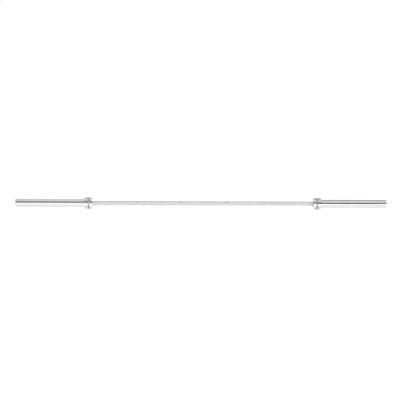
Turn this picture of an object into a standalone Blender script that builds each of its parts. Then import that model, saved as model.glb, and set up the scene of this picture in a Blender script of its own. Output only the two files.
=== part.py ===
# A squat bar: one knurled steel shaft with a chromed sleeve turning on bronze bushings at each end.
# The shaft lies along X with its middle at the origin, and +Z is up. All lengths are in metres.

import math

import bmesh
import bpy

# The bar as a whole
OVERALL_LENGTH = 2.250
COLLAR_SPACING = 1.344  # between the inner faces of the two collars
SLEEVE_DIAMETER = 0.050  # takes plates with a 50 mm hole
COLLAR_DIAMETER = 0.072
COLLAR_WIDTH = 0.045

# The shaft between the collars: knurling with plain bands in it
KNURL_DIAMETER = 0.029  # over the crests
PLAIN_DIAMETER = 0.0285  # where the shaft isn't knurled
CENTRE_KNURL_LENGTH = 0.269
CENTRE_BAND_WIDTH = 0.009  # plain, at each end of the centre knurl
RING_MARK_SPACING = 0.810  # middle to middle of the two ring marks
RING_MARK_WIDTH = 0.004
END_BAND_WIDTH = 0.004  # plain, beside each collar

# The shaft inside a sleeve
SHOULDER_INSET = 0.0015  # from the collar's inner face to the shoulder
JOURNAL_DIAMETER = 0.026
SHAFT_END_STUB = 0.003  # past the snap ring's groove
SHAFT_END_CHAMFER = 0.001
END_FLOAT = 0.002  # from the end of the shaft to the end cap's seat

# Bushings and washers
BUSHING_WALL = 0.0035
BUSHING_LENGTH = 0.043  # with the flange
FLANGE_THICKNESS = 0.003
FLANGE_LIP = 0.0022  # how far the flange stands out over the bushing's body
WASHER_THICKNESS = 0.002

# Snap rings
SNAP_RING_THICKNESS = 0.0015
SNAP_RING_WIDTH = 0.0032
SNAP_RING_BITE = 0.0012  # depth of a snap ring's groove
EAR_RADIUS = 0.0023
EAR_HOLE_RADIUS = 0.001
SHAFT_RING_OPENING = math.radians(26)  # between the middles of the two ears
END_RING_OPENING = math.radians(46)

# The sleeve's outer end
SLEEVE_CHAMFER = 0.002
END_LIP_DEPTH = 0.003  # from the end of the sleeve to the end ring's groove
END_CAP_THICKNESS = 0.003
END_CAP_LEDGE = 0.0018  # width of the step that the end cap rests on
END_CAP_RIM = 0.0045
END_CAP_DISH = 0.0006

# The collar and its pin
COLLAR_CHAMFER = 0.0015
GROOVE_AT = 0.020  # from the collar's inner face to the middle of the groove
GROOVE_WIDTH = 0.008
GROOVE_DEPTH = 0.0025
GROOVE_CHAMFER = 0.001
PIN_DIAMETER = 0.007
PIN_CHAMFER = 0.0007
PIN_ELEVATION = math.radians(18)  # above the level, on the front of the bar
PIN_STAND = 0.0014  # how far the head stands over the groove's floor
PIN_BITE = 0.004  # into the sleeve's wall

# Clearances
RUNNING_GAP = 0.0003  # between pieces that turn on each other
SEAT_GAP = 0.0003  # between pieces that are pressed or seated together

# Flats around each turned piece
SHAFT_SIDES = 40
SLEEVE_SIDES = 48
INNER_SIDES = 36
SMALL_SIDES = 16
ARC_STEPS = 30
CREASE_ANGLE = math.radians(35)
MERGE_DISTANCE = 1e-6

# Radii and places that follow from the sizes above
KNURL_R = KNURL_DIAMETER / 2
PLAIN_R = PLAIN_DIAMETER / 2
JOURNAL_R = JOURNAL_DIAMETER / 2
SLEEVE_R = SLEEVE_DIAMETER / 2
COLLAR_R = COLLAR_DIAMETER / 2
PIN_R = PIN_DIAMETER / 2

BUSHING_BORE_R = JOURNAL_R + RUNNING_GAP
BUSHING_R = BUSHING_BORE_R + BUSHING_WALL
FLANGE_R = BUSHING_R + FLANGE_LIP
SLEEVE_BORE_R = BUSHING_R + SEAT_GAP
FLANGE_SEAT_R = FLANGE_R + SEAT_GAP
CAP_SEAT_R = FLANGE_SEAT_R + END_CAP_LEDGE
CAP_R = CAP_SEAT_R - SEAT_GAP
END_GROOVE_R = CAP_SEAT_R + SNAP_RING_BITE
SHAFT_GROOVE_R = JOURNAL_R - SNAP_RING_BITE
COLLAR_BORE_R = SLEEVE_R + SEAT_GAP
GROOVE_FLOOR_R = COLLAR_R - GROOVE_DEPTH
RING_GROOVE_WIDTH = SNAP_RING_THICKNESS + 2 * SEAT_GAP

# Distances along a sleeve, from the collar's inner face outwards
SLEEVE_LENGTH = (OVERALL_LENGTH - COLLAR_SPACING) / 2
INNER_WASHER_AT = SHOULDER_INSET + RUNNING_GAP
INNER_BUSHING_AT = INNER_WASHER_AT + WASHER_THICKNESS + RUNNING_GAP
INNER_SEAT_AT = INNER_BUSHING_AT + FLANGE_THICKNESS + SEAT_GAP
END_GROOVE_AT = SLEEVE_LENGTH - END_LIP_DEPTH - RING_GROOVE_WIDTH
END_RING_AT = END_GROOVE_AT + SEAT_GAP
END_CAP_AT = END_RING_AT - SEAT_GAP - END_CAP_THICKNESS
CAP_SEAT_AT = END_CAP_AT - SEAT_GAP
SHAFT_END_AT = CAP_SEAT_AT - END_FLOAT
SHAFT_GROOVE_AT = SHAFT_END_AT - SHAFT_END_STUB - RING_GROOVE_WIDTH
SHAFT_RING_AT = SHAFT_GROOVE_AT + SEAT_GAP
OUTER_WASHER_AT = SHAFT_RING_AT - SEAT_GAP - WASHER_THICKNESS
OUTER_FLANGE_AT = OUTER_WASHER_AT - RUNNING_GAP - FLANGE_THICKNESS
OUTER_SEAT_AT = OUTER_FLANGE_AT - SEAT_GAP

MATERIALS = {
    "shaft_steel": ((0.62, 0.62, 0.61), 0.34, 1.0),
    "hard_chrome": ((0.78, 0.79, 0.80), 0.10, 1.0),
    "bushing_bronze": ((0.60, 0.38, 0.17), 0.36, 1.0),
    "washer_steel": ((0.50, 0.50, 0.50), 0.32, 1.0),
    "spring_steel": ((0.10, 0.10, 0.11), 0.42, 1.0),
    "cap_steel": ((0.66, 0.66, 0.66), 0.28, 1.0),
}


def clear_scene():
    for obj in list(bpy.data.objects):
        bpy.data.objects.remove(obj)


def make_materials():
    made = {}
    for name, (colour, roughness, metallic) in MATERIALS.items():
        material = bpy.data.materials.new(name)
        material.use_nodes = True
        shader = material.node_tree.nodes["Principled BSDF"]
        shader.inputs["Base Color"].default_value = (*colour, 1.0)
        shader.inputs["Roughness"].default_value = roughness
        shader.inputs["Metallic"].default_value = metallic
        made[name] = material
    return made


def finish_mesh(name, work, smooth_sides=True):
    # Faces square to the axis are shaded flat, and the round sides smooth.
    bmesh.ops.recalc_face_normals(work, faces=work.faces)
    for face in work.faces:
        face.smooth = smooth_sides and abs(face.normal.x) < 0.99
    mesh = bpy.data.meshes.new(name)
    work.to_mesh(mesh)
    work.free()
    mesh.set_sharp_from_angle(angle=CREASE_ANGLE)
    return mesh


def turned(name, profile, sides, closed):
    # Spins (distance, radius) points about X. A flat, and not an edge, faces straight down.
    start = math.pi / sides
    work = bmesh.new()
    corners = [
        work.verts.new((along, radius * math.cos(start), radius * math.sin(start)))
        for along, radius in profile
    ]
    pairs = list(zip(corners, corners[1:]))
    if closed:
        pairs.append((corners[-1], corners[0]))
    edges = [work.edges.new(pair) for pair in pairs]
    bmesh.ops.spin(
        work,
        geom=corners + edges,
        cent=(0, 0, 0),
        axis=(1, 0, 0),
        angle=2 * math.pi,
        steps=sides,
        use_merge=True,
    )
    bmesh.ops.remove_doubles(work, verts=work.verts, dist=MERGE_DISTANCE)
    return finish_mesh(name, work)


def extruded(name, outline, thickness, smooth_sides=True):
    # A flat outline of (y, z) points, given a thickness along +X.
    work = bmesh.new()
    face = work.faces.new([work.verts.new((0, y, z)) for y, z in outline])
    grown = bmesh.ops.extrude_face_region(work, geom=[face])
    moved = [item for item in grown["geom"] if isinstance(item, bmesh.types.BMVert)]
    bmesh.ops.translate(work, verts=moved, vec=(thickness, 0, 0))
    return finish_mesh(name, work, smooth_sides)


def arc(radius, start, end, steps, centre=(0, 0)):
    return [
        (
            centre[0] + radius * math.cos(start + (end - start) * i / steps),
            centre[1] + radius * math.sin(start + (end - start) * i / steps),
        )
        for i in range(steps + 1)
    ]


def add_object(name, mesh, parent=None, along=0.0, material=None):
    obj = bpy.data.objects.new(name, mesh)
    bpy.context.scene.collection.objects.link(obj)
    obj.parent = parent
    obj.location.x = along
    if material and not mesh.materials:
        mesh.materials.append(material)
    return obj


def add_helper(name, mesh, parent, along=0.0):
    obj = add_object(name, mesh, parent, along)
    obj.hide_render = True
    obj.display_type = "WIRE"
    return obj


def combine(target, helper, operation):
    modifier = target.modifiers.new(helper.name, "BOOLEAN")
    modifier.operation = operation
    modifier.object = helper


def shaft_mesh():
    knurls_end_at = COLLAR_SPACING / 2 - END_BAND_WIDTH
    bands = [
        (CENTRE_KNURL_LENGTH / 2, CENTRE_KNURL_LENGTH / 2 + CENTRE_BAND_WIDTH),
        ((RING_MARK_SPACING - RING_MARK_WIDTH) / 2, (RING_MARK_SPACING + RING_MARK_WIDTH) / 2),
        (knurls_end_at, COLLAR_SPACING / 2 + SHOULDER_INSET),
    ]
    half = []
    for starts, ends in bands:
        half += [(starts, KNURL_R), (starts, PLAIN_R), (ends, PLAIN_R), (ends, KNURL_R)]
    half.pop()
    inner_face = COLLAR_SPACING / 2
    half += [
        (inner_face + SHOULDER_INSET, JOURNAL_R),
        (inner_face + SHAFT_GROOVE_AT, JOURNAL_R),
        (inner_face + SHAFT_GROOVE_AT, SHAFT_GROOVE_R),
        (inner_face + SHAFT_GROOVE_AT + RING_GROOVE_WIDTH, SHAFT_GROOVE_R),
        (inner_face + SHAFT_GROOVE_AT + RING_GROOVE_WIDTH, JOURNAL_R),
        (inner_face + SHAFT_END_AT - SHAFT_END_CHAMFER, JOURNAL_R),
        (inner_face + SHAFT_END_AT, JOURNAL_R - SHAFT_END_CHAMFER),
        (inner_face + SHAFT_END_AT, 0),
    ]
    other_half = [(-along, radius) for along, radius in reversed(half)]
    return turned("shaft", other_half + half, SHAFT_SIDES, closed=False)


def sleeve_tube_mesh():
    # The ring of edges under the collar's outer face ends the faces that the pin's hole breaks.
    profile = [
        (0, FLANGE_SEAT_R),
        (0, SLEEVE_R),
        (COLLAR_WIDTH, SLEEVE_R),
        (SLEEVE_LENGTH - SLEEVE_CHAMFER, SLEEVE_R),
        (SLEEVE_LENGTH, SLEEVE_R - SLEEVE_CHAMFER),
        (SLEEVE_LENGTH, CAP_SEAT_R),
        (END_GROOVE_AT + RING_GROOVE_WIDTH, CAP_SEAT_R),
        (END_GROOVE_AT + RING_GROOVE_WIDTH, END_GROOVE_R),
        (END_GROOVE_AT, END_GROOVE_R),
        (END_GROOVE_AT, CAP_SEAT_R),
        (CAP_SEAT_AT, CAP_SEAT_R),
        (CAP_SEAT_AT, FLANGE_SEAT_R),
        (OUTER_SEAT_AT, FLANGE_SEAT_R),
        (OUTER_SEAT_AT, SLEEVE_BORE_R),
        (INNER_SEAT_AT, SLEEVE_BORE_R),
        (INNER_SEAT_AT, FLANGE_SEAT_R),
    ]
    return turned("sleeve_tube", profile, SLEEVE_SIDES, closed=True)


def collar_mesh():
    groove_from = GROOVE_AT - GROOVE_WIDTH / 2
    groove_to = GROOVE_AT + GROOVE_WIDTH / 2
    profile = [
        (0, COLLAR_BORE_R),
        (0, COLLAR_R - COLLAR_CHAMFER),
        (COLLAR_CHAMFER, COLLAR_R),
        (groove_from - GROOVE_CHAMFER, COLLAR_R),
        (groove_from, COLLAR_R - GROOVE_CHAMFER),
        (groove_from, GROOVE_FLOOR_R),
        (groove_to, GROOVE_FLOOR_R),
        (groove_to, COLLAR_R - GROOVE_CHAMFER),
        (groove_to + GROOVE_CHAMFER, COLLAR_R),
        (COLLAR_WIDTH - COLLAR_CHAMFER, COLLAR_R),
        (COLLAR_WIDTH, COLLAR_R - COLLAR_CHAMFER),
        (COLLAR_WIDTH, COLLAR_BORE_R),
    ]
    return turned("collar", profile, SLEEVE_SIDES, closed=True)


def bushing_mesh():
    # The flange is at the start, and the body runs on along +X.
    profile = [
        (0, BUSHING_BORE_R),
        (0, FLANGE_R),
        (FLANGE_THICKNESS, FLANGE_R),
        (FLANGE_THICKNESS, BUSHING_R),
        (BUSHING_LENGTH, BUSHING_R),
        (BUSHING_LENGTH, BUSHING_BORE_R),
    ]
    return turned("bushing", profile, INNER_SIDES, closed=True)


def washer_mesh():
    profile = [
        (0, BUSHING_BORE_R),
        (0, FLANGE_R),
        (WASHER_THICKNESS, FLANGE_R),
        (WASHER_THICKNESS, BUSHING_BORE_R),
    ]
    return turned("thrust_washer", profile, INNER_SIDES, closed=True)


def end_cap_mesh():
    # A plain disc with a raised rim on its outer face.
    outer_face = END_CAP_THICKNESS
    dish_r = CAP_R - END_CAP_RIM
    profile = [
        (0, 0),
        (0, CAP_R),
        (outer_face, CAP_R),
        (outer_face, dish_r),
        (outer_face - END_CAP_DISH, dish_r - END_CAP_DISH),
        (outer_face - END_CAP_DISH, 0),
    ]
    return turned("end_cap", profile, INNER_SIDES, closed=False)


def snap_ring(name, inner_r, outer_r, ear_at_r, opening, parent, along, material):
    # An open ring with an eared and drilled free end on each side of its opening, at the top.
    middle = math.pi / 2
    start = middle + opening / 2
    end = middle - opening / 2 + 2 * math.pi
    outline = arc(outer_r, start, end, ARC_STEPS) + arc(inner_r, end, start, ARC_STEPS)
    ring = add_object(name, extruded(name, outline, SNAP_RING_THICKNESS), parent, along, material)
    for label, angle in (("first", start), ("second", end)):
        centre = (ear_at_r * math.cos(angle), ear_at_r * math.sin(angle))
        ear_outline = arc(EAR_RADIUS, 0, 2 * math.pi, SMALL_SIDES, centre)[:-1]
        ear = extruded(f"{name}_{label}_ear", ear_outline, SNAP_RING_THICKNESS)
        combine(ring, add_helper(ear.name, ear, parent, along), "UNION")
        hole_outline = arc(EAR_HOLE_RADIUS, 0, 2 * math.pi, SMALL_SIDES, centre)[:-1]
        hole = extruded(f"{name}_{label}_hole", hole_outline, 3 * SNAP_RING_THICKNESS, smooth_sides=False)
        combine(ring, add_helper(hole.name, hole, parent, along - SNAP_RING_THICKNESS), "DIFFERENCE")
    return ring


def stand_on_radius(mesh, from_r, angle):
    # Turns a piece built along +X so that it runs outwards along a radius of the bar.
    work = bmesh.new()
    work.from_mesh(mesh)
    for corner in work.verts:
        out, across, over = corner.co
        radius = from_r + out
        corner.co = (
            over,
            radius * math.cos(angle) - across * math.sin(angle),
            radius * math.sin(angle) + across * math.cos(angle),
        )
    work.to_mesh(mesh)
    work.free()
    return mesh


def pin_hole_mesh(name, angle):
    hole_r = PIN_R + SEAT_GAP
    floor_r = SLEEVE_R - PIN_BITE - SEAT_GAP
    outline = arc(hole_r, 0, 2 * math.pi, SMALL_SIDES)[:-1]
    drill = extruded(name, outline, COLLAR_R - floor_r, smooth_sides=False)
    return stand_on_radius(drill, floor_r, angle)


def pin_mesh(name, angle):
    # A solid pin with chamfered ends, whose head stands in the collar's groove.
    foot_r = SLEEVE_R - PIN_BITE
    length = GROOVE_FLOOR_R + PIN_STAND - foot_r
    profile = [
        (0, 0),
        (0, PIN_R - PIN_CHAMFER),
        (PIN_CHAMFER, PIN_R),
        (length - PIN_CHAMFER, PIN_R),
        (length, PIN_R - PIN_CHAMFER),
        (length, 0),
    ]
    return stand_on_radius(turned(name, profile, SMALL_SIDES, closed=False), foot_r, angle)


def build_sleeve(side, facing, materials, meshes):
    # The empty stands on the turning axis at the collar's inner face, with +X pointing to the sleeve's end.
    axis = add_object(f"{side}_sleeve_axis", None)
    axis.location.x = facing * COLLAR_SPACING / 2
    axis.rotation_euler.z = 0 if facing > 0 else math.pi

    chrome = materials["hard_chrome"]
    bronze = materials["bushing_bronze"]
    spring = materials["spring_steel"]
    tube = add_object(f"{side}_sleeve_tube", meshes["tube"].copy(), axis, 0, chrome)
    collar = add_object(f"{side}_collar", meshes["collar"].copy(), axis, 0, chrome)
    add_object(f"{side}_inner_bushing", meshes["bushing"], axis, INNER_BUSHING_AT, bronze)
    outer_bushing = add_object(f"{side}_outer_bushing", meshes["bushing"], axis, 0, bronze)
    outer_bushing.location.x = OUTER_FLANGE_AT + FLANGE_THICKNESS
    outer_bushing.rotation_euler.z = math.pi
    washer = meshes["washer"]
    add_object(f"{side}_inner_washer", washer, axis, INNER_WASHER_AT, materials["washer_steel"])
    add_object(f"{side}_outer_washer", washer, axis, OUTER_WASHER_AT, materials["washer_steel"])
    add_object(f"{side}_end_cap", meshes["end_cap"], axis, END_CAP_AT, materials["cap_steel"])

    shaft_ring_r = SHAFT_GROOVE_R + SEAT_GAP
    snap_ring(
        f"{side}_shaft_snap_ring",
        shaft_ring_r,
        shaft_ring_r + SNAP_RING_WIDTH,
        shaft_ring_r + SNAP_RING_WIDTH,
        SHAFT_RING_OPENING,
        axis,
        SHAFT_RING_AT,
        spring,
    )
    end_ring_r = END_GROOVE_R - SEAT_GAP
    snap_ring(
        f"{side}_end_snap_ring",
        end_ring_r - SNAP_RING_WIDTH,
        end_ring_r,
        end_ring_r - SNAP_RING_WIDTH,
        END_RING_OPENING,
        axis,
        END_RING_AT,
        spring,
    )

    # The pin faces the front of the bar, which is +Y of the turned empty on the left side.
    pin_angle = math.pi - PIN_ELEVATION if facing > 0 else PIN_ELEVATION
    pin_name = f"{side}_collar_pin"
    add_object(pin_name, pin_mesh(pin_name, pin_angle), axis, GROOVE_AT, materials["washer_steel"])
    hole_name = f"{side}_pin_hole"
    hole = add_helper(hole_name, pin_hole_mesh(hole_name, pin_angle), axis, GROOVE_AT)
    combine(tube, hole, "DIFFERENCE")
    combine(collar, hole, "DIFFERENCE")


def main():
    clear_scene()
    materials = make_materials()
    add_object("shaft", shaft_mesh(), material=materials["shaft_steel"])
    meshes = {
        "tube": sleeve_tube_mesh(),
        "collar": collar_mesh(),
        "bushing": bushing_mesh(),
        "washer": washer_mesh(),
        "end_cap": end_cap_mesh(),
    }
    build_sleeve("left", -1, materials, meshes)
    build_sleeve("right", 1, materials, meshes)


main()
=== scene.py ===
import math

import bpy
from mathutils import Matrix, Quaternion, Vector


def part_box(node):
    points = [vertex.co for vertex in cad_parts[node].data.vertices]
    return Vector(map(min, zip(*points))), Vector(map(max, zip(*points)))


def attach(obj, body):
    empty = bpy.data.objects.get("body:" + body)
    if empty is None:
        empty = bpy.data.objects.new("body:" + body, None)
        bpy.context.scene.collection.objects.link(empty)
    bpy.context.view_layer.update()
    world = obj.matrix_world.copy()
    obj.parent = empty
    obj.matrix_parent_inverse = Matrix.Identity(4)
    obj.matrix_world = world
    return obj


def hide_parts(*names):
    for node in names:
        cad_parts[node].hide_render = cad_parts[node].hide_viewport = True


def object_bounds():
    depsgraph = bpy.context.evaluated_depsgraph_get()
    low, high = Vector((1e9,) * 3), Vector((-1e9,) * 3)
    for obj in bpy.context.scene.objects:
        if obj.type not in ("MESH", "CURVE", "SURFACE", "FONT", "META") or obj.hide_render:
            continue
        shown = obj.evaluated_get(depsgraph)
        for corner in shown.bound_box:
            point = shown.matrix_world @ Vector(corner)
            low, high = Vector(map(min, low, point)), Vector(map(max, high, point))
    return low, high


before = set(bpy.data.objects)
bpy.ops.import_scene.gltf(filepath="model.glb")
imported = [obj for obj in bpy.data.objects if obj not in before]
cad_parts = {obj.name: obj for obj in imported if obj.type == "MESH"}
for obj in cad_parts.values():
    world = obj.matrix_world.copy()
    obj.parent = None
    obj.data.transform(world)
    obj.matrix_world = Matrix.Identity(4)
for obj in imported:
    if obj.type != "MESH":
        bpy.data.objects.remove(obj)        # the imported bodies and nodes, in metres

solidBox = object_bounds()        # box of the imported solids, before anything is added

# The bar lies along X with its middle at the origin. Distances run from there towards the right-hand end,
# and each piece of a sleeve is made on the right and copied to the left.

seamReach = 0.000001        # corners nearer to each other than this are merged
brokenFrom = 30        # degrees between two faces from which their edge is broken
smoothTo = 25        # degrees between two faces up to which they are shaded as one


def clearSelection():
    if bpy.context.mode != "OBJECT":
        bpy.ops.object.mode_set(mode="OBJECT")
    bpy.ops.object.select_all(action="DESELECT")


def useObject(piece):
    clearSelection()
    bpy.context.view_layer.objects.active = piece
    piece.select_set(True)


def settle(piece):
    # the object goes back to the origin, and its place goes into its mesh
    useObject(piece)
    bpy.ops.object.transform_apply(location=True, rotation=True, scale=True)


def nameIt(piece, name):
    piece.name = name
    piece.data.name = name
    return piece


def applyAll(piece):
    useObject(piece)
    for modifier in list(piece.modifiers):
        bpy.ops.object.modifier_apply(modifier=modifier.name)


def drawOutline(name, points):
    # a plane shrinks to one corner, which is pulled along the (distance, radius) points
    clearSelection()
    distance, radius = points[0]
    bpy.ops.mesh.primitive_plane_add(size=0.01, location=(distance, 0, radius))
    piece = nameIt(bpy.context.object, name)
    settle(piece)
    bpy.ops.object.mode_set(mode="EDIT")
    bpy.ops.mesh.select_mode(type="VERT")
    bpy.ops.mesh.select_all(action="SELECT")
    bpy.ops.mesh.merge(type="CENTER")
    for start, end in zip(points, points[1:]):
        step = (end[0] - start[0], 0, end[1] - start[1])
        bpy.ops.mesh.extrude_vertices_move(TRANSFORM_OT_translate={"value": step})
    bpy.ops.object.mode_set(mode="OBJECT")
    return piece


def closeUp(piece):
    # seams and poles are merged, and the faces turned outwards
    useObject(piece)
    bpy.ops.object.mode_set(mode="EDIT")
    bpy.ops.mesh.select_all(action="SELECT")
    bpy.ops.mesh.remove_doubles(threshold=seamReach)
    bpy.ops.mesh.normals_make_consistent(inside=False)
    bpy.ops.object.mode_set(mode="OBJECT")


def spinRound(piece, angle, steps):
    # about the bar's axis
    useObject(piece)
    bpy.ops.object.mode_set(mode="EDIT")
    bpy.ops.mesh.select_all(action="SELECT")
    bpy.ops.mesh.spin(steps=steps, angle=angle, center=(0, 0, 0), axis=(1, 0, 0))
    bpy.ops.object.mode_set(mode="OBJECT")
    closeUp(piece)


def turnPiece(name, points, sides):
    piece = drawOutline(name, points)
    spinRound(piece, 2 * math.pi, sides)
    return piece


def breakEdges(piece, width, segments=2):
    bevel = piece.modifiers.new("brokenEdges", "BEVEL")
    bevel.limit_method = "ANGLE"
    bevel.angle_limit = math.radians(brokenFrom)
    bevel.width = width
    bevel.segments = segments
    applyAll(piece)


def smoothSides(piece, degrees=smoothTo):
    useObject(piece)
    bpy.ops.object.shade_smooth_by_angle(angle=math.radians(degrees))


def combineWith(piece, other, operation):
    boolean = piece.modifiers.new(operation.lower(), "BOOLEAN")
    boolean.operation = operation
    boolean.object = other
    applyAll(piece)
    bpy.data.objects.remove(other)


def pickParts(piece, kind, test):
    # leaves edit mode open, with the faces or edges that pass the test selected
    useObject(piece)
    bpy.ops.object.mode_set(mode="EDIT")
    bpy.ops.mesh.select_mode(type=kind)
    bpy.ops.mesh.select_all(action="DESELECT")
    bpy.ops.object.mode_set(mode="OBJECT")
    parts = piece.data.polygons if kind == "FACE" else piece.data.edges
    for part in parts:
        part.select = test(part)
    bpy.ops.object.mode_set(mode="EDIT")


def copyToLeft(piece, name):
    # half a turn about Z takes a right-hand piece to the left and keeps it right side out
    useObject(piece)
    bpy.ops.object.duplicate()
    copy = nameIt(bpy.context.object, name)
    copy.rotation_euler.z = math.pi
    settle(copy)
    return copy


def spanOf(node):
    low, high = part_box(node)
    return low.x, high.x


# Shader node helpers: a socket is given a value, or the output that feeds it


def addNode(tree, kind, settings=None, sockets=None):
    made = tree.nodes.new("ShaderNode" + kind)
    for label, value in (settings or {}).items():
        setattr(made, label, value)
    for label, value in (sockets or {}).items():
        if isinstance(value, bpy.types.NodeSocket):
            tree.links.new(value, made.inputs[label])
        else:
            made.inputs[label].default_value = value
    return made


def compute(tree, operation, first, second=0.0):
    return addNode(tree, "Math", {"operation": operation}, {0: first, 1: second}).outputs[0]


def remap(tree, value, fromLow, fromHigh, toLow, toHigh):
    sockets = {"Value": value, "From Min": fromLow, "From Max": fromHigh, "To Min": toLow, "To Max": toHigh}
    return addNode(tree, "MapRange", None, sockets).outputs["Result"]


def blendColours(tree, mask, dark, light):
    ramp = addNode(tree, "ValToRGB", None, {"Fac": mask})
    ramp.color_ramp.elements[0].color = (*dark, 1)
    ramp.color_ramp.elements[1].color = (*light, 1)
    return ramp.outputs["Color"]


def objectPlace(tree):
    place = addNode(tree, "TexCoord").outputs["Object"]
    return addNode(tree, "SeparateXYZ", None, {0: place}).outputs


def startGroup(name, inputs, output):
    group = bpy.data.node_groups.new(name, "ShaderNodeTree")
    for label, value in inputs.items():
        socket = group.interface.new_socket(name=label, in_out="INPUT", socket_type="NodeSocketFloat")
        socket.default_value = value
    group.interface.new_socket(name=output, in_out="OUTPUT", socket_type="NodeSocketFloat")
    entry = group.nodes.new("NodeGroupInput")
    return group, entry.outputs, objectPlace(group)


def endGroup(group, result):
    exitNode = group.nodes.new("NodeGroupOutput")
    group.links.new(result, exitNode.inputs[0])
    return group


def radiusOf(tree, axes):
    squared = compute(tree, "ADD", compute(tree, "POWER", axes[1], 2), compute(tree, "POWER", axes[2], 2))
    return compute(tree, "SQRT", squared)


def stretchedNoise(tree, along, second, third, detail):
    spot = addNode(tree, "CombineXYZ", None, {0: along, 1: second, 2: third}).outputs[0]
    sockets = {"Vector": spot, "Scale": 1.0, "Detail": detail, "Roughness": 0.55}
    return addNode(tree, "TexNoise", None, sockets).outputs["Fac"]


def makeTurnedGrain():
    # rings left by the tool: they follow the distance along a side and the radius across an end
    group, given, axes = startGroup("turnedGrain", {"Rings per metre": 4000, "Wander": 30}, "Height")
    along = compute(group, "ADD", axes[0], radiusOf(group, axes))
    ringed = compute(group, "MULTIPLY", along, given["Rings per metre"])
    aside = [compute(group, "MULTIPLY", axes[i], given["Wander"]) for i in (1, 2)]
    return endGroup(group, stretchedNoise(group, ringed, aside[0], aside[1], detail=3.0))


def makeSmudges():
    # soft patches from handling and wiping
    group, given, axes = startGroup("smudges", {"Patches per metre": 25}, "Mask")
    spots = [compute(group, "MULTIPLY", axes[i], given["Patches per metre"]) for i in range(3)]
    cloudy = stretchedNoise(group, spots[0], spots[1], spots[2], detail=4.0)
    beginsAt, fullAt = 0.38, 0.66        # levels of the noise where a patch begins and is full
    return endGroup(group, remap(group, cloudy, beginsAt, fullAt, 0.0, 1.0))


def makeRubMarks():
    # fine scratches that run along the bar, or round it where Along is large and Across small
    group, given, axes = startGroup("rubMarks", {"Along": 12, "Across": 1400, "Share": 0.36}, "Mask")
    along = compute(group, "MULTIPLY", axes[0], given["Along"])
    aside = [compute(group, "MULTIPLY", axes[i], given["Across"]) for i in (1, 2)]
    streaks = stretchedNoise(group, along, aside[0], aside[1], detail=2.0)
    edge = compute(group, "SUBTRACT", 1.0, given["Share"])
    overEdge = compute(group, "SUBTRACT", streaks, edge)
    fullAt = 0.09        # how far over the edge of the noise a scratch is full
    return endGroup(group, remap(group, overEdge, 0.0, fullAt, 0.0, 1.0))


grainGroup = makeTurnedGrain()
smudgeGroup = makeSmudges()
rubGroup = makeRubMarks()
print("effects made")


def placeGroup(tree, group, values):
    placed = tree.nodes.new("ShaderNodeGroup")
    placed.node_tree = group
    for label, value in values.items():
        placed.inputs[label].default_value = value
    return placed.outputs[0]


def startMetal(name):
    material = bpy.data.materials.new(name)
    material.use_nodes = True
    tree = material.node_tree
    shader = tree.nodes["Principled BSDF"]
    shader.inputs["Metallic"].default_value = 1.0
    return material, tree, shader


def addBump(tree, shader, height, strength, depth):
    bump = addNode(tree, "Bump", None, {"Height": height, "Strength": strength, "Distance": depth})
    tree.links.new(bump.outputs["Normal"], shader.inputs["Normal"])


def platedMetal(name, look):
    # hard chrome: a mirror with faint rings, smudges that dull it and rub marks from plates
    material, tree, shader = startMetal(name)
    grain = placeGroup(tree, grainGroup, {"Rings per metre": look["rings"], "Wander": look["wander"]})
    smudge = placeGroup(tree, smudgeGroup, {"Patches per metre": look["patches"]})
    rub = placeGroup(
        tree, rubGroup, {"Along": look["along"], "Across": look["across"], "Share": look["share"]})
    ringTone = compute(tree, "MULTIPLY", grain, look["ringTone"])
    smudgeTone = compute(tree, "MULTIPLY", smudge, look["smudgeTone"])
    tone = compute(tree, "ADD", ringTone, smudgeTone)
    tree.links.new(blendColours(tree, tone, look["dark"], look["light"]), shader.inputs["Base Color"])
    dulled = remap(tree, smudge, 0.0, 1.0, look["smooth"], look["smudged"])
    roughness = compute(tree, "ADD", dulled, compute(tree, "MULTIPLY", rub, look["rubbed"]))
    tree.links.new(roughness, shader.inputs["Roughness"])
    height = compute(tree, "SUBTRACT", grain, compute(tree, "MULTIPLY", rub, look["scratchDepth"]))
    addBump(tree, shader, height, look["strength"], look["depth"])
    return material


sleeveLook = {
    "dark": (0.77, 0.77, 0.77), "light": (0.845, 0.845, 0.845),
    "ringTone": 0.6, "smudgeTone": 0.4,        # shares of the rings and the smudges in the colour
    "smooth": 0.07, "smudged": 0.12, "rubbed": 0.10,
    "rings": 3600, "wander": 18, "patches": 22,
    "along": 9, "across": 1500, "share": 0.34,
    "strength": 0.12, "depth": 0.00002, "scratchDepth": 0.5,
}
collarLook = dict(sleeveLook, rings=5200, patches=40, along=900, across=60, share=0.32, rubbed=0.06)
# painted shade: the groove's colours are darker than the collar's and stand in for the shade inside the
# groove
grooveShadeLook = dict(
    collarLook, dark=(0.33, 0.33, 0.33), light=(0.51, 0.51, 0.51), smooth=0.24, smudged=0.38)
bandLook = dict(sleeveLook, smooth=0.10, smudged=0.16, rings=6500, along=500, across=80)
sleeveChrome = platedMetal("sleeveChrome", sleeveLook)
collarChrome = platedMetal("collarChrome", collarLook)
grooveShadeChrome = platedMetal("grooveShadeChrome", grooveShadeLook)        # painted shade: coloured darker for the shade in the groove, and rougher
bandChrome = platedMetal("bandChrome", bandLook)


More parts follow.
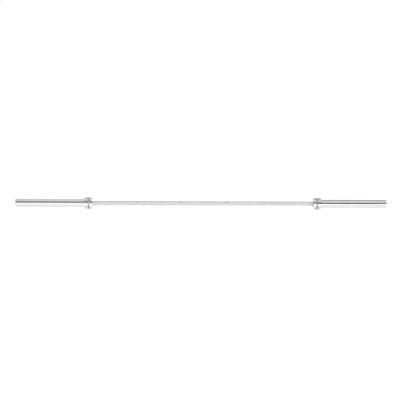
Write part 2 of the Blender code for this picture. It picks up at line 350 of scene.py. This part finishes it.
def knurledMetal(name, look):
    # satin plating over knurling: lighter on the crests and darker in the valleys as painted shade, and
    # rougher in the valleys
    material, tree, shader = startMetal(name)
    axes = objectPlace(tree)
    # painted shade: the colour darkens from the crests down into the valleys
    crest = remap(tree, radiusOf(tree, axes), look["valleyRadius"], look["crestRadius"], 0.0, 1.0)
    smudge = placeGroup(tree, smudgeGroup, {"Patches per metre": look["patches"]})
    valleyShadeAndGrime = compute(tree, "SUBTRACT", crest, compute(tree, "MULTIPLY", smudge, look["grime"]))
    tree.links.new(blendColours(tree, valleyShadeAndGrime, look["dark"], look["light"]), shader.inputs["Base Color"])
    roughness = remap(tree, valleyShadeAndGrime, 0.0, 1.0, look["rough"], look["smooth"])
    tree.links.new(roughness, shader.inputs["Roughness"])
    grain = placeGroup(tree, grainGroup, {"Rings per metre": look["rings"], "Wander": look["wander"]})
    addBump(tree, shader, grain, look["strength"], look["depth"])
    return material


# painted shade: dark is the valleys' colour and light the crests'
knurlLook = {
    "dark": (0.84, 0.84, 0.84), "light": (0.95, 0.95, 0.95),
    "valleyRadius": 0.01394, "crestRadius": 0.01440,
    "rough": 0.42, "smooth": 0.22, "patches": 30, "grime": 0.18,
    "rings": 9000, "wander": 4000, "strength": 0.25, "depth": 0.00003,
}
knurlChrome = knurledMetal("knurlChrome", knurlLook)


def groundMetal(name, look):
    # bare or oiled steel with visible rings from grinding or facing, and a few stains
    material, tree, shader = startMetal(name)
    grain = placeGroup(tree, grainGroup, {"Rings per metre": look["rings"], "Wander": look["wander"]})
    stain = placeGroup(tree, smudgeGroup, {"Patches per metre": look["patches"]})
    tone = compute(tree, "SUBTRACT", grain, compute(tree, "MULTIPLY", stain, look["stained"]))
    spread = remap(tree, tone, look["darkAt"], look["lightAt"], 0.0, 1.0)
    tree.links.new(blendColours(tree, spread, look["dark"], look["light"]), shader.inputs["Base Color"])
    roughness = remap(tree, stain, 0.0, 1.0, look["smooth"], look["rough"])
    tree.links.new(roughness, shader.inputs["Roughness"])
    addBump(tree, shader, grain, look["strength"], look["depth"])
    return material


washerLook = {
    "dark": (0.40, 0.40, 0.40), "light": (0.58, 0.58, 0.57), "darkAt": 0.1, "lightAt": 0.75,
    "smooth": 0.26, "rough": 0.40, "rings": 5000, "wander": 900,
    "patches": 180, "stained": 0.25, "strength": 0.35, "depth": 0.00004,
}
pinLook = dict(
    washerLook, dark=(0.92, 0.92, 0.92), light=(0.98, 0.98, 0.98), smooth=0.66, rough=0.82, rings=9000)
capLook = {
    "dark": (0.56, 0.56, 0.56), "light": (0.74, 0.74, 0.73), "darkAt": 0.1, "lightAt": 0.75,
    "smooth": 0.20, "rough": 0.34, "rings": 3200, "wander": 25,
    "patches": 90, "stained": 0.15, "strength": 0.4, "depth": 0.00005,
}
washerSteel = groundMetal("washerSteel", washerLook)
pinSteel = groundMetal("pinSteel", pinLook)
capSteel = groundMetal("capSteel", capLook)


def bearingBronze(name, look):
    # pressed and sintered: warm metal with fine open pores that hold the oil
    material, tree, shader = startMetal(name)
    place = addNode(tree, "TexCoord").outputs["Object"]
    cells = addNode(tree, "TexVoronoi", None, {"Vector": place, "Scale": look["poresPerMetre"]})
    pore = remap(tree, cells.outputs["Distance"], look["poreFloor"], look["poreRim"], 0.0, 1.0)
    oil = placeGroup(tree, smudgeGroup, {"Patches per metre": look["patches"]})
    tone = compute(tree, "SUBTRACT", pore, compute(tree, "MULTIPLY", oil, look["oiled"]))
    tree.links.new(blendColours(tree, tone, look["dark"], look["light"]), shader.inputs["Base Color"])
    tree.links.new(remap(tree, oil, 0.0, 1.0, look["dry"], look["wet"]), shader.inputs["Roughness"])
    addBump(tree, shader, pore, look["strength"], look["depth"])
    return material


bronzeLook = {
    "dark": (0.30, 0.17, 0.07), "light": (0.66, 0.42, 0.19),
    "poresPerMetre": 1600, "poreFloor": 0.05, "poreRim": 0.24, "patches": 120, "oiled": 0.35,
    "dry": 0.42, "wet": 0.24, "strength": 0.5, "depth": 0.00006,
}
bushingBronze = bearingBronze("bushingBronze", bronzeLook)


def phosphatedSteel(name, look):
    # stamped spring steel: matt and nearly black on its faces, brighter on the sheared edges
    material, tree, shader = startMetal(name)
    normal = addNode(tree, "TexCoord").outputs["Normal"]
    facing = compute(tree, "ABSOLUTE", addNode(tree, "SeparateXYZ", None, {0: normal}).outputs[0])
    speckle = placeGroup(tree, smudgeGroup, {"Patches per metre": look["speckles"]})
    sheared = compute(tree, "SUBTRACT", 1.0, facing)
    bare = compute(tree, "MULTIPLY", sheared, remap(tree, speckle, 0.0, 1.0, 1.0, look["covered"]))
    tree.links.new(blendColours(tree, bare, look["dark"], look["light"]), shader.inputs["Base Color"])
    roughness = remap(tree, bare, 0.0, 1.0, look["rough"], look["smooth"])
    tree.links.new(roughness, shader.inputs["Roughness"])
    addBump(tree, shader, speckle, look["strength"], look["depth"])
    return material


springLook = {
    "dark": (0.06, 0.06, 0.065), "light": (0.30, 0.30, 0.31),
    "rough": 0.52, "smooth": 0.30, "speckles": 1500, "covered": 0.4,
    "strength": 0.3, "depth": 0.00004,
}
springSteel = phosphatedSteel("springSteel", springLook)
print("finishes made")


def dressUp(piece, material, body, slot, *nodes):
    piece.data.materials.clear()
    piece.data.materials.append(material)
    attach(piece, body)
    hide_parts(*nodes)


collarFrom, collarTo = spanOf("right_collar")
tubeFrom, tubeTo = spanOf("right_sleeve_tube")
seatGap = 0.0003        # between pieces that are pressed or seated together

shaftShape = {
    "sides": 52, "rowPitch": 0.003,        # diamonds round the shaft, and their length
    "rootRadius": 0.01396, "crestHeight": 0.00048, "runOut": 0.0004,
    "plainRadius": 0.01425, "journalRadius": 0.013, "grooveRadius": 0.0118,
    "centreKnurl": 0.269, "centreBand": 0.009,
    "markSpacing": 0.810, "markWidth": 0.004, "endBand": 0.004,
    "shoulderInset": 0.0015, "endChamfer": 0.001,
    "smoothTo": 18,        # degrees, less than elsewhere, so that the diamonds stay crisp
}


def knurlStretches(shape):
    # from the middle to the right: half the centre knurl, then the two long stretches
    markMiddle = shape["markSpacing"] / 2
    return [
        (0.0, shape["centreKnurl"] / 2),
        (shape["centreKnurl"] / 2 + shape["centreBand"], markMiddle - shape["markWidth"] / 2),
        (markMiddle + shape["markWidth"] / 2, collarFrom - shape["endBand"]),
    ]


def shaftOutline(shape):
    points = []
    for start, end in knurlStretches(shape):
        if start > 0:
            points.append((start, shape["plainRadius"]))
            start += shape["runOut"]
        end -= shape["runOut"]
        rows = round((end - start) / shape["rowPitch"])
        points += [(start + (end - start) * row / rows, shape["rootRadius"]) for row in range(rows + 1)]
        points.append((end + shape["runOut"], shape["plainRadius"]))
    ringFrom, ringTo = spanOf("right_shaft_snap_ring")
    shaftEnd = spanOf("shaft")[1]
    shoulder = collarFrom + shape["shoulderInset"]
    points += [
        (shoulder - shape["runOut"], shape["plainRadius"]),
        (shoulder, shape["plainRadius"] - shape["runOut"]),
        (shoulder, shape["journalRadius"]),
        (ringFrom - seatGap, shape["journalRadius"]),
        (ringFrom - seatGap, shape["grooveRadius"]),
        (ringTo + seatGap, shape["grooveRadius"]),
        (ringTo + seatGap, shape["journalRadius"]),
        (shaftEnd - shape["endChamfer"], shape["journalRadius"]),
        (shaftEnd, shape["journalRadius"] - shape["endChamfer"]),
        (shaftEnd, 0.0),
    ]
    mirrored = [(-distance, radius) for distance, radius in reversed(points[1:])]
    return mirrored + points


def makeShaft(shape):
    shaft = turnPiece("shaftBar", shaftOutline(shape), shape["sides"])
    stretches = [(start + shape["runOut"], end - shape["runOut"]) for start, end in knurlStretches(shape)]
    nearRoot = 0.00006        # a face's middle lies a little inside the root radius
    nearMiddle = shape["runOut"] * 2        # the stretch that starts nearer than this runs across the middle
    endMargin = shape["rowPitch"] / 4        # leaves out the edges that close a stretch at its ends

    def onStretch(distance, margin=0.0):
        return any((start < nearMiddle or start + margin < distance) and distance < end - margin
                   for start, end in stretches)

    def onKnurl(middle, margin=0.0):
        offRoot = abs(math.hypot(middle.y, middle.z) - shape["rootRadius"])
        return offRoot < nearRoot and onStretch(abs(middle.x), margin)

    gridCorners = len(shaft.data.vertices)
    pickParts(shaft, "FACE", lambda face: onKnurl(face.center))
    bpy.ops.mesh.poke(offset=0.0, use_relative_offset=False, center_mode="MEDIAN")
    bpy.ops.object.mode_set(mode="OBJECT")
    corners = shaft.data.vertices

    def oldEdge(edge):
        first, second = edge.vertices
        if max(first, second) >= gridCorners:
            return False
        return onKnurl((corners[first].co + corners[second].co) / 2, endMargin)

    pickParts(shaft, "EDGE", oldEdge)
    bpy.ops.mesh.dissolve_edges(use_verts=False)
    pickParts(shaft, "FACE", lambda face: len(face.vertices) == 4 and onKnurl(face.center))
    bpy.ops.mesh.poke(offset=shape["crestHeight"], use_relative_offset=False, center_mode="MEDIAN")
    bpy.ops.object.mode_set(mode="OBJECT")
    smoothSides(shaft, shape["smoothTo"])
    dressUp(shaft, bandChrome, "bar_shaft", "shaft_steel", "shaft")
    shaft.data.materials.append(knurlChrome)
    for face in shaft.data.polygons:
        if onStretch(abs(face.center.x)):
            face.material_index = 1


makeShaft(shaftShape)
print("shaft made")

tubeShape = {
    "sides": 128, "radius": 0.025, "chamfer": 0.002,
    "boreRadius": 0.0171, "flangeSeatRadius": 0.0193, "capSeatRadius": 0.0211, "grooveRadius": 0.0223,
    "edges": 0.0002,
}


def tubeOutline(shape):
    seatInner = spanOf("right_inner_bushing")[0]
    seatOuter = spanOf("right_outer_bushing")[1]
    ringFrom, ringTo = spanOf("right_end_snap_ring")
    capFrom = spanOf("right_end_cap")[0]
    flange = bushingShape["flange"] + seatGap
    points = [
        (tubeFrom, shape["flangeSeatRadius"]),
        (tubeFrom, shape["radius"]),
        (collarTo, shape["radius"]),
        (tubeTo - shape["chamfer"], shape["radius"]),
        (tubeTo, shape["radius"] - shape["chamfer"]),
        (tubeTo, shape["capSeatRadius"]),
        (ringTo + seatGap, shape["capSeatRadius"]),
        (ringTo + seatGap, shape["grooveRadius"]),
        (ringFrom - seatGap, shape["grooveRadius"]),
        (ringFrom - seatGap, shape["capSeatRadius"]),
        (capFrom - seatGap, shape["capSeatRadius"]),
        (capFrom - seatGap, shape["flangeSeatRadius"]),
        (seatOuter - flange, shape["flangeSeatRadius"]),
        (seatOuter - flange, shape["boreRadius"]),
        (seatInner + flange, shape["boreRadius"]),
        (seatInner + flange, shape["flangeSeatRadius"]),
    ]
    return points + points[:1]


collarShape = {
    "sides": 128, "radius": 0.03592, "boreRadius": 0.0253, "chamfer": 0.0015,
    "grooveAt": 0.020,        # from the inner face to the middle of the groove
    "grooveWidth": 0.008, "floorRadius": 0.0335, "lipChamfer": 0.001, "edges": 0.0003,
}


def collarOutline(shape):
    middle = collarFrom + shape["grooveAt"]
    grooveFrom = middle - shape["grooveWidth"] / 2
    grooveTo = middle + shape["grooveWidth"] / 2
    points = [
        (collarFrom, shape["boreRadius"]),
        (collarFrom, shape["radius"] - shape["chamfer"]),
        (collarFrom + shape["chamfer"], shape["radius"]),
        (grooveFrom - shape["lipChamfer"], shape["radius"]),
        (grooveFrom, shape["radius"] - shape["lipChamfer"]),
        (grooveFrom, shape["floorRadius"]),
        (grooveTo, shape["floorRadius"]),
        (grooveTo, shape["radius"] - shape["lipChamfer"]),
        (grooveTo + shape["lipChamfer"], shape["radius"]),
        (collarTo - shape["chamfer"], shape["radius"]),
        (collarTo, shape["radius"] - shape["chamfer"]),
        (collarTo, shape["boreRadius"]),
    ]
    return points + points[:1]


bushingShape = {
    "sides": 96, "boreRadius": 0.0133, "radius": 0.0168, "flangeRadius": 0.019, "flange": 0.003,
    "edges": 0.0003,
}


def bushingOutline(shape, fromEnd, toEnd):
    # the flange is at fromEnd, whichever way the body runs from there
    way = 1 if toEnd > fromEnd else -1
    points = [
        (fromEnd, shape["boreRadius"]),
        (fromEnd, shape["flangeRadius"]),
        (fromEnd + way * shape["flange"], shape["flangeRadius"]),
        (fromEnd + way * shape["flange"], shape["radius"]),
        (toEnd, shape["radius"]),
        (toEnd, shape["boreRadius"]),
    ]
    return points + points[:1]


def washerOutline(shape, start, end):
    # as wide as the bushing's flange beside it
    points = [
        (start, shape["boreRadius"]),
        (start, shape["flangeRadius"]),
        (end, shape["flangeRadius"]),
        (end, shape["boreRadius"]),
    ]
    return points + points[:1]


capShape = {
    "sides": 96, "radius": 0.0208, "rim": 0.0045, "dish": 0.0006,
    "dimpleRadius": 0.0012, "dimpleDepth": 0.0007, "edges": 0.0003,
}


def capOutline(shape):
    capFrom, capTo = spanOf("right_end_cap")
    floorAt = capTo - shape["dish"]
    dishRadius = shape["radius"] - shape["rim"]
    return [
        (capFrom, 0.0),
        (capFrom, shape["radius"]),
        (capTo, shape["radius"]),
        (capTo, dishRadius),
        (floorAt, dishRadius - shape["dish"]),
        (floorAt, shape["dimpleRadius"]),
        (floorAt - shape["dimpleDepth"], 0.0),
    ]


ringShape = {
    "steps": 96, "width": 0.0032, "taper": 0.0005, "edges": 0.0001,
    "earRadius": 0.0023, "earHole": 0.001, "earSides": 40,
    "reach": 0.0001,        # corners within this of the edge with the ears belong to it
}
shaftRing = dict(ringShape, innerRadius=0.0121, opening=math.radians(26), earsInside=False)
endRing = dict(ringShape, innerRadius=0.0188, opening=math.radians(46), earsInside=True)


def addDisc(shape, radius, spot, thickness):
    clearSelection()
    bpy.ops.mesh.primitive_cylinder_add(
        vertices=shape["earSides"], radius=radius, depth=thickness, location=spot,
        rotation=(0, math.pi / 2, 0))
    disc = bpy.context.object
    settle(disc)
    return disc


def makeSnapRing(name, node, shape):
    # a bar of the ring's section is swept round, and its free ends get drilled ears
    start, end = spanOf(node)
    middle = (start + end) / 2
    thickness = end - start
    inner = shape["innerRadius"]
    outer = inner + shape["width"]
    freeRadius, shift = (inner, shape["taper"]) if shape["earsInside"] else (outer, -shape["taper"])
    clearSelection()
    bpy.ops.mesh.primitive_plane_add(size=1, location=(middle, 0, (inner + outer) / 2),
                                     rotation=(math.pi / 2, 0, 0))
    ring = nameIt(bpy.context.object, name)
    ring.scale = (thickness, shape["width"], 1)
    settle(ring)
    ring.rotation_euler.x = -shape["opening"] / 2        # spin sweeps the other way round from here
    settle(ring)
    spinRound(ring, 2 * math.pi - shape["opening"], shape["steps"])

    def onFreeEdge(edge):
        corners = [ring.data.vertices[i].co for i in edge.vertices]
        return all(abs(math.hypot(corner.y, corner.z) - freeRadius) < shape["reach"] for corner in corners)

    pickParts(ring, "EDGE", onFreeEdge)
    bpy.ops.transform.translate(value=(0, 0, shift))        # wider opposite the opening
    bpy.ops.object.mode_set(mode="OBJECT")
    breakEdges(ring, shape["edges"], 1)
    for way in (1, -1):
        angle = way * shape["opening"] / 2
        spot = Vector((middle, -freeRadius * math.sin(angle), freeRadius * math.cos(angle) + shift))
        combineWith(ring, addDisc(shape, shape["earRadius"], spot, thickness), "UNION")
        drill = addDisc(shape, shape["earHole"], spot, 3 * thickness)        # comes out on both faces
        combineWith(ring, drill, "DIFFERENCE")
    closeUp(ring)
    return ring


pinShape = {
    "sides": 48, "radius": 0.0035, "footRadius": 0.021, "chamfer": 0.0007, "edges": 0.00015,
    "stand": 0.0014,        # how far the head stands over the groove's floor
    "crown": 0.0012, "crownSteps": 7,
}


def pinOutline(shape):
    # from the foot, in the sleeve tube, to the crowned head in the groove
    foot = shape["footRadius"]
    crownFrom = collarShape["floorRadius"] + shape["stand"] - shape["crown"]
    points = [
        (foot, 0.0),
        (foot, shape["radius"] - shape["chamfer"]),
        (foot + shape["chamfer"], shape["radius"]),
    ]
    for step in range(shape["crownSteps"] + 1):
        turn = math.pi / 2 * step / shape["crownSteps"]
        points.append((crownFrom + shape["crown"] * math.sin(turn), shape["radius"] * math.cos(turn)))
    return points


def pinPlace(side):
    # middle of the pin along the bar, and its lean back from straight up
    low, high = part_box(f"{side}_collar_pin")
    middle = (low + high) / 2
    return middle.x, math.atan2(-middle.y, middle.z)


def standPin(piece, side):
    distance, lean = pinPlace(side)
    piece.rotation_euler.x = lean
    piece.location.x = distance
    settle(piece)


def makePin(name, side, shape):
    # turned along the bar, and then stood up on its radius
    pin = turnPiece(name, pinOutline(shape), shape["sides"])
    breakEdges(pin, shape["edges"])
    pin.rotation_euler.y = -math.pi / 2
    settle(pin)
    standPin(pin, side)
    return pin


def drillForPin(piece, side, shape):
    # the hole for the pin, from below the tube's surface out through the groove's floor
    holeRadius = shape["radius"] + seatGap
    bottom = shape["footRadius"] - seatGap
    clearSelection()
    bpy.ops.mesh.primitive_cylinder_add(
        vertices=shape["sides"], radius=holeRadius, depth=collarShape["radius"] - bottom,
        location=(0, 0, (collarShape["radius"] + bottom) / 2))
    drill = bpy.context.object
    settle(drill)
    standPin(drill, side)
    combineWith(piece, drill, "DIFFERENCE")


sideNames = ("right", "left")


def turnPair(label, outline, shape):
    right = turnPiece("right" + label, outline, shape["sides"])
    breakEdges(right, shape["edges"])
    return right, copyToLeft(right, "left" + label)


def finishPair(pair, node, material, slot, body="sleeve_unit"):
    for side, piece in zip(sideNames, pair):
        smoothSides(piece)
        rider = "bar_shaft" if body == "bar_shaft" else f"{side}_{body}"
        dressUp(piece, material, rider, slot, f"{side}_{node}")


def makeDrilled(label, node, outline, shape, material):
    pair = turnPair(label, outline, shape)
    for side, piece in zip(sideNames, pair):
        drillForPin(piece, side, pinShape)
    finishPair(pair, node, material, "hard_chrome")
    return pair


def paintGrooveShade(collar, shape):
    # the groove's floor and walls get the second material, whose darker colour is painted shade
    collar.data.materials.append(grooveShadeChrome)
    middle = collarFrom + shape["grooveAt"]
    reach = shape["grooveWidth"] / 2 + shape["edges"]
    top = shape["radius"] - shape["lipChamfer"]
    for face in collar.data.polygons:
        inGroove = abs(abs(face.center.x) - middle) < reach
        outside = face.center.yz.length
        if inGroove and (shape["boreRadius"] + top) / 2 < outside and outside < top:
            face.material_index = 1


makeDrilled("SleeveTube", "sleeve_tube", tubeOutline(tubeShape), tubeShape, sleeveChrome)
for collar in makeDrilled("Collar", "collar", collarOutline(collarShape), collarShape, collarChrome):
    paintGrooveShade(collar, collarShape)
print("sleeve tubes and collars made")

pins = [makePin(side + "CollarPin", side, pinShape) for side in sideNames]
finishPair(pins, "collar_pin", pinSteel, "washer_steel")

innerFrom, innerTo = spanOf("right_inner_bushing")
outerFrom, outerTo = spanOf("right_outer_bushing")
for label, node, flangeAt, bodyEnd in (
        ("InnerBushing", "inner_bushing", innerFrom, innerTo),
        ("OuterBushing", "outer_bushing", outerTo, outerFrom)):
    bushings = turnPair(label, bushingOutline(bushingShape, flangeAt, bodyEnd), bushingShape)
    finishPair(bushings, node, bushingBronze, "bushing_bronze")
for label, node in (("InnerWasher", "inner_washer"), ("OuterWasher", "outer_washer")):
    washers = turnPair(label, washerOutline(bushingShape, *spanOf("right_" + node)), bushingShape)
    finishPair(washers, node, washerSteel, "washer_steel")
finishPair(turnPair("EndCap", capOutline(capShape), capShape), "end_cap", capSteel, "cap_steel")
print("pins, bushings, washers and end caps made")

for label, node, shape, body in (
        ("ShaftSnapRing", "shaft_snap_ring", shaftRing, "bar_shaft"),
        ("EndSnapRing", "end_snap_ring", endRing, "sleeve_unit")):
    right = makeSnapRing("right" + label, "right_" + node, shape)
    left = copyToLeft(right, "left" + label)
    finishPair((right, left), node, springSteel, "spring_steel", body)
print("snap rings made")

# The studio: a pale floor, a room that is bright low down and dim above, and a soft light overhead.
# The camera sees white in place of the room.
studio = {
    "floorSize": 16.0, "floorColour": (0.70, 0.70, 0.70), "floorGlow": 0.58,
    "lampEnergy": 45.0, "lampSize": 3.0, "lampHeight": 2.6, "lampForward": 0.4,
    "leftEdge": -0.10, "rightEdge": 0.26,        # directions where the two sides' light is met in full
    "wallFrom": 0.0, "wallTo": 0.30,        # where the wall behind the bar begins and is met in full
    "endLight": 0.56, "endFrom": 0.42, "endTo": 0.56,        # from beyond the two ends
    "shaftTo": 0.66, "sleevesFrom": 0.69,        # where one sweep on the floor gives way to the other
}
# The floor's own glow, which only mirroring metal sees: metres aside from the bar's axis, and level
sleeveSweep = [
    (0.0, 0.60), (0.012, 0.60), (0.030, 0.36), (0.080, 0.39), (0.130, 0.76),
]
shaftSweep = [(0.0, 0.28), (0.020, 0.28), (0.045, 0.50), (0.130, 0.76)]
wallLight = [(-0.10, 0.66), (0.26, 0.38)]        # from left to right behind the bar
lightToLeft = [        # degrees above level, and how bright the room is there
    (-90, 1.00), (-30, 1.04), (-4, 1.10), (4, 0.55), (14, 0.48), (26, 0.28), (42, 0.24),
    (54, 0.58), (70, 0.82), (90, 0.80),
]
lightToRight = [
    (-90, 1.00), (-30, 1.04), (-8, 1.10), (1, 0.40), (6.5, 0.045), (25, 0.045), (32, 0.40),
    (40, 0.80), (66, 0.84), (90, 0.60),
]
rampTop = 2.0        # level that a ramp's full colour stands for


def lightRamp(tree, value, levels):
    # a ramp through the (value, level) pairs, to be multiplied by rampTop where it is used
    first, last = levels[0][0], levels[-1][0]
    ramp = addNode(tree, "ValToRGB", None, {"Fac": remap(tree, value, first, last, 0.0, 1.0)})
    stops = ramp.color_ramp.elements
    stops.remove(stops[-1])
    for i, (place, level) in enumerate(levels):
        position = (place - first) / (last - first)
        stop = stops[0] if i == 0 else stops.new(position)
        stop.position = position
        shade = level / rampTop
        stop.color = (shade, shade, shade, 1)
    return ramp.outputs["Color"]


def addFloor(look, height):
    clearSelection()
    bpy.ops.mesh.primitive_plane_add(size=look["floorSize"], location=(0, 0, height))
    floor = nameIt(bpy.context.object, "studioFloor")
    settle(floor)
    material = bpy.data.materials.new("paleFloor")
    material.use_nodes = True
    tree = material.node_tree
    tree.nodes.remove(tree.nodes["Principled BSDF"])
    matt = addNode(tree, "BsdfDiffuse", None, {"Color": (*look["floorColour"], 1)})
    path = addNode(tree, "LightPath").outputs
    seen = compute(tree, "MULTIPLY", path["Is Camera Ray"], look["floorGlow"])
    place = objectPlace(tree)
    along = compute(tree, "ABSOLUTE", place[0])
    aside = compute(tree, "ABSOLUTE", place[1])
    shaftShare = remap(tree, along, look["shaftTo"], look["sleevesFrom"], rampTop, 0.0)
    sleeveShare = remap(tree, along, look["shaftTo"], look["sleevesFrom"], 0.0, rampTop)
    underShaft = compute(tree, "MULTIPLY", lightRamp(tree, aside, shaftSweep), shaftShare)
    underSleeves = compute(tree, "MULTIPLY", lightRamp(tree, aside, sleeveSweep), sleeveShare)
    sweep = compute(tree, "ADD", underShaft, underSleeves)
    mirrored = compute(tree, "MULTIPLY", sweep, path["Is Glossy Ray"])
    glow = addNode(tree, "Emission", None, {"Strength": compute(tree, "ADD", seen, mirrored)})
    both = addNode(tree, "AddShader", None, {0: matt.outputs[0], 1: glow.outputs[0]})
    tree.links.new(both.outputs[0], tree.nodes["Material Output"].inputs["Surface"])
    floor.data.materials.append(material)


def addGlow(tree, value, levels):
    sockets = {"Color": lightRamp(tree, value, levels), "Strength": rampTop}
    return addNode(tree, "Background", None, sockets).outputs[0]


def addRoom(look):
    world = bpy.data.worlds.new("studioRoom")
    bpy.context.scene.world = world
    world.use_nodes = True
    tree = world.node_tree
    tree.nodes.clear()
    direction = addNode(tree, "TexCoord").outputs["Generated"]
    axes = addNode(tree, "SeparateXYZ", None, {0: direction}).outputs
    height = compute(tree, "DEGREES", compute(tree, "ARCSINE", axes[2]))
    toRight = remap(tree, axes[0], look["leftEdge"], look["rightEdge"], 0.0, 1.0)
    leftSide = addGlow(tree, height, lightToLeft)
    rightSide = addGlow(tree, height, lightToRight)
    wall = addGlow(tree, axes[0], wallLight)
    front = addNode(tree, "MixShader", None, {0: toRight, 1: leftSide, 2: rightSide}).outputs[0]
    behind = remap(tree, axes[1], look["wallFrom"], look["wallTo"], 0.0, 1.0)
    around = addNode(tree, "MixShader", None, {0: behind, 1: front, 2: wall}).outputs[0]
    white = (1, 1, 1, 1)
    ends = addNode(tree, "Background", None, {"Color": white, "Strength": look["endLight"]}).outputs[0]
    aside = remap(tree, compute(tree, "ABSOLUTE", axes[0]), look["endFrom"], look["endTo"], 0.0, 1.0)
    room = addNode(tree, "MixShader", None, {0: aside, 1: around, 2: ends}).outputs[0]
    backdrop = addNode(tree, "Background", None, {"Color": white, "Strength": 1.0}).outputs[0]
    seen = addNode(tree, "LightPath").outputs["Is Camera Ray"]
    mixed = addNode(tree, "MixShader", None, {0: seen, 1: room, 2: backdrop})
    output = addNode(tree, "OutputWorld")
    tree.links.new(mixed.outputs[0], output.inputs["Surface"])


def addLamp(look):
    clearSelection()
    bpy.ops.object.light_add(type="AREA", location=(0, -look["lampForward"], look["lampHeight"]))
    lamp = bpy.context.object
    lamp.name = "softLight"
    lamp.data.energy = look["lampEnergy"]
    lamp.data.size = look["lampSize"]
    lamp.visible_glossy = False


shot = {
    "aim": (-0.0224, 0.0, 0.0219), "distance": 5.5, "nearest": 0.05,        # metres
    "azimuth": -4.83, "elevation": 1.5, "roll": -0.30,        # degrees
    "lens": 81.7, "filmWidth": 36.0,        # millimetres
}


def addCamera(look):
    azimuth = math.radians(look["azimuth"])
    elevation = math.radians(look["elevation"])
    aim = Vector(look["aim"])
    back = Vector((
        math.sin(azimuth) * math.cos(elevation),
        -math.cos(azimuth) * math.cos(elevation),
        math.sin(elevation),
    ))
    clearSelection()
    bpy.ops.object.camera_add(location=back * look["distance"])
    camera = bpy.context.object
    camera.name = "photoCamera"
    facing = (aim - camera.location).normalized()
    level = facing.to_track_quat("-Z", "Y")
    camera.rotation_euler = (Quaternion(facing, math.radians(look["roll"])) @ level).to_euler()
    camera.data.lens = look["lens"]
    camera.data.sensor_width = look["filmWidth"]
    camera.data.clip_start = look["nearest"]
    bpy.context.scene.camera = camera


addFloor(studio, solidBox[0].z)
addRoom(studio)
addLamp(studio)
addCamera(shot)
bpy.context.scene.view_settings.view_transform = "Standard"
print("studio made")
